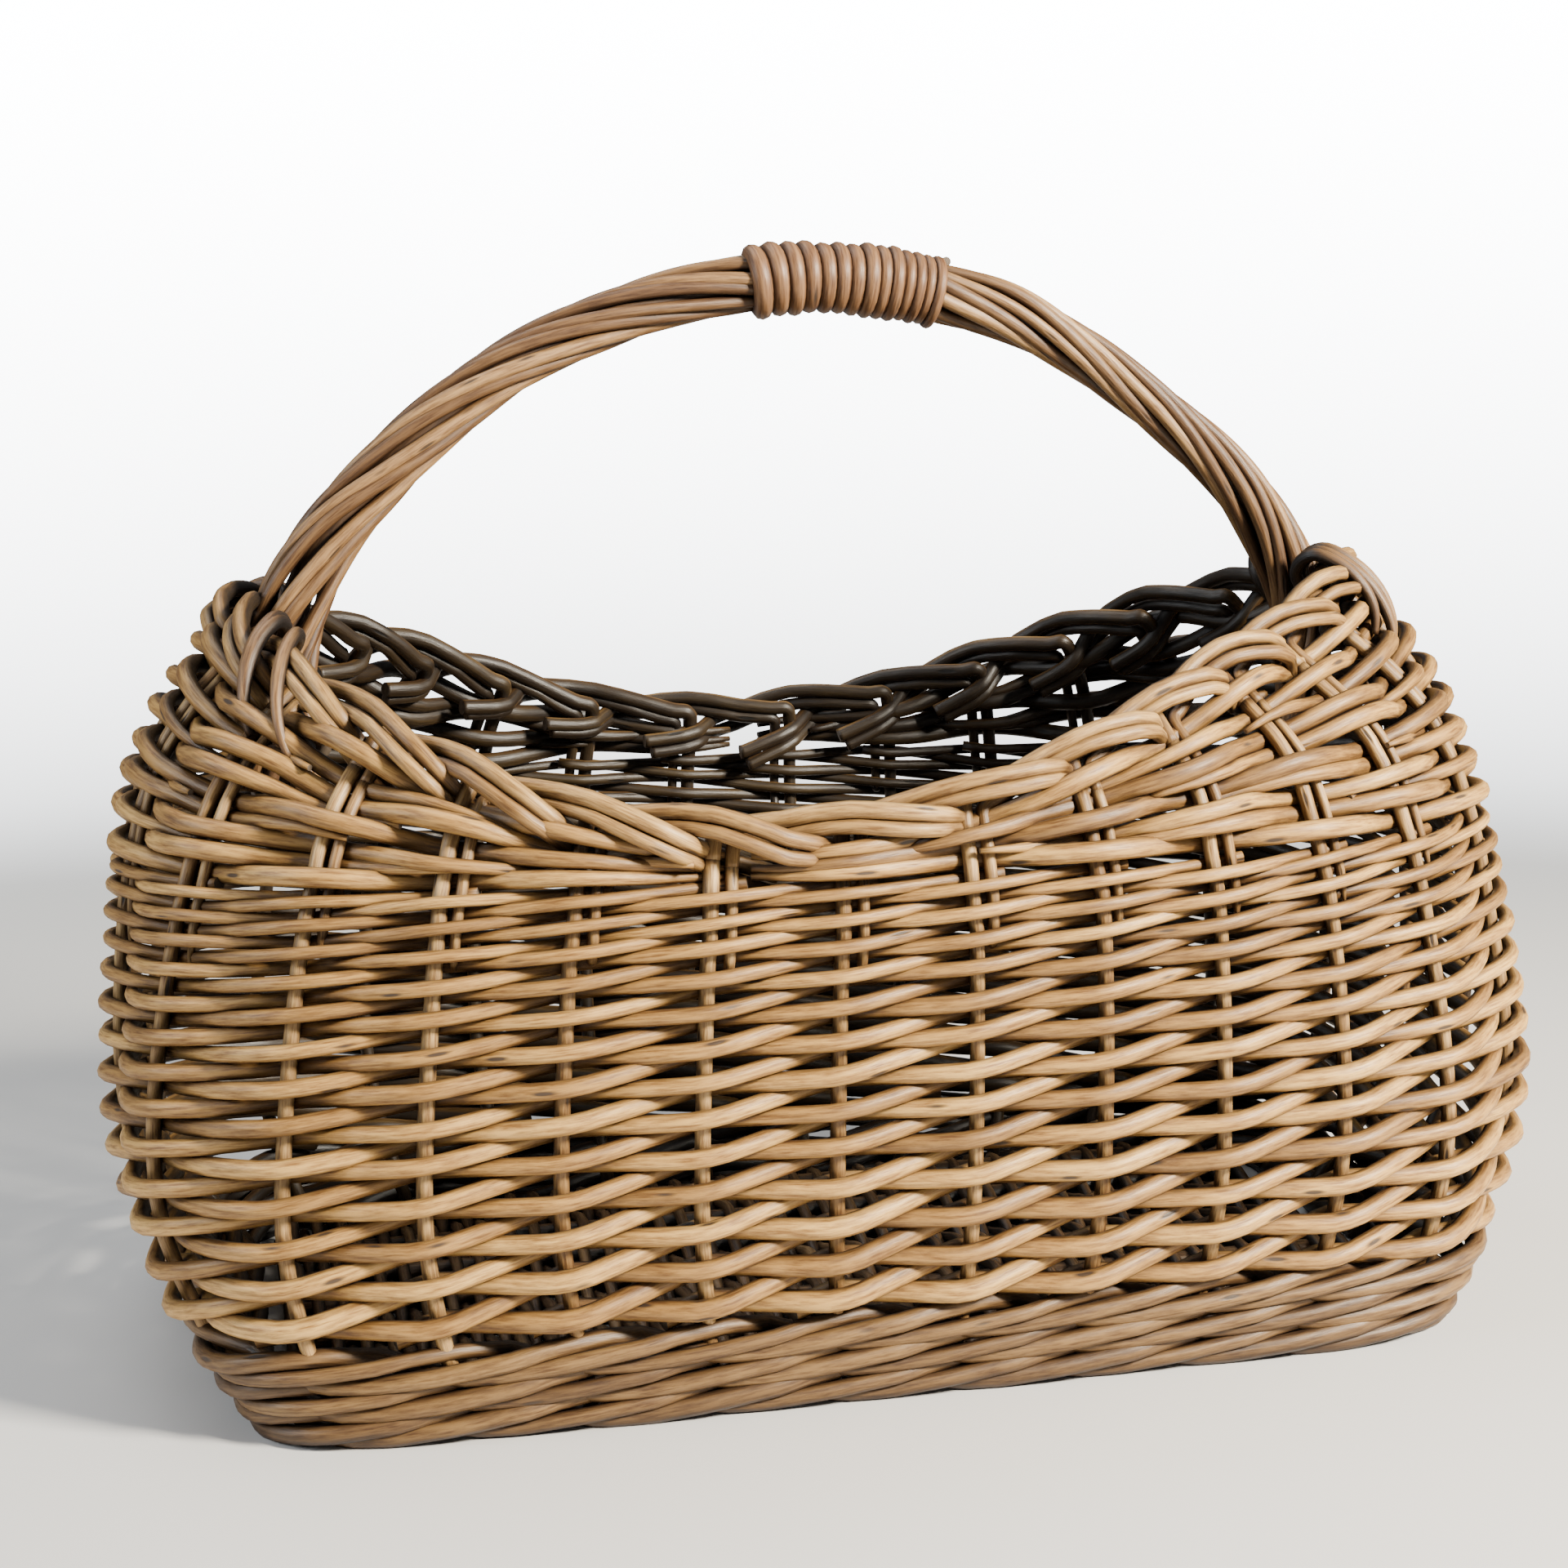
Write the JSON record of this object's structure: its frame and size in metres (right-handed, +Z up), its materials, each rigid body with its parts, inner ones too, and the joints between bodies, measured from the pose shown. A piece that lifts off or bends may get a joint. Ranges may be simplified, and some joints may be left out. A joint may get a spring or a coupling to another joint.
{
  "type": "woven market basket",
  "caption": "Oblong woven willow market basket with a boat-shaped mouth and a fixed roped handle with a wrapped grip.",
  "frame": {"origin": "underside of the base, at its middle", "axes": "+X along the length towards the right-hand end, -Y towards the front, +Z up"},
  "size_m": [0.4388, 0.238, 0.326],
  "materials": {
    "base": "satin",
    "stakes": "satin",
    "weave": "satin",
    "border": "satin",
    "handle": "satin",
    "grip": "satin"
  },
  "bodies": {
    "root": {"base_weave": "base", "base_stick_1": "base", "base_stick_2": "base", "base_stick_3": "base", "base_stick_4": "base", "base_stick_5": "base", "base_stick_6": "base", "base_stick_7": "base", "stake_front_1": "stakes", "stake_front_2": "stakes", "stake_front_3": "stakes", "stake_front_4": "stakes", "stake_front_5": "stakes", "stake_front_6": "stakes", "stake_front_7": "stakes", "stake_front_8": "stakes", "stake_front_9": "stakes", "stake_front_10": "stakes", "stake_right_1": "stakes", "stake_right_2": "stakes", "stake_right_3": "stakes", "stake_right_4": "stakes", "stake_back_1": "stakes", "stake_back_2": "stakes", "stake_back_3": "stakes", "stake_back_4": "stakes", "stake_back_5": "stakes", "stake_back_6": "stakes", "stake_back_7": "stakes", "stake_back_8": "stakes", "stake_back_9": "stakes", "stake_back_10": "stakes", "stake_left_1": "stakes", "stake_left_2": "stakes", "stake_left_3": "stakes", "stake_left_4": "stakes", "upsett_wale": "weave", "siding_round_1": "weave", "siding_round_2": "weave", "siding_round_3": "weave", "packing_right": "weave", "packing_left": "weave", "border": "border", "handle_hook_right_front": "border", "handle_hook_right_back": "border", "handle_hook_left_front": "border", "handle_hook_left_back": "border", "handle_bow": "handle", "handle_strand_1": "handle", "handle_strand_2": "handle", "handle_strand_3": "handle", "handle_strand_4": "handle", "handle_strand_5": "handle", "handle_strand_6": "handle", "handle_strand_7": "handle", "handle_strand_8": "handle", "handle_strand_9": "handle", "handle_strand_10": "handle", "grip_wrap": "grip"}
  },
  "joints": []
}
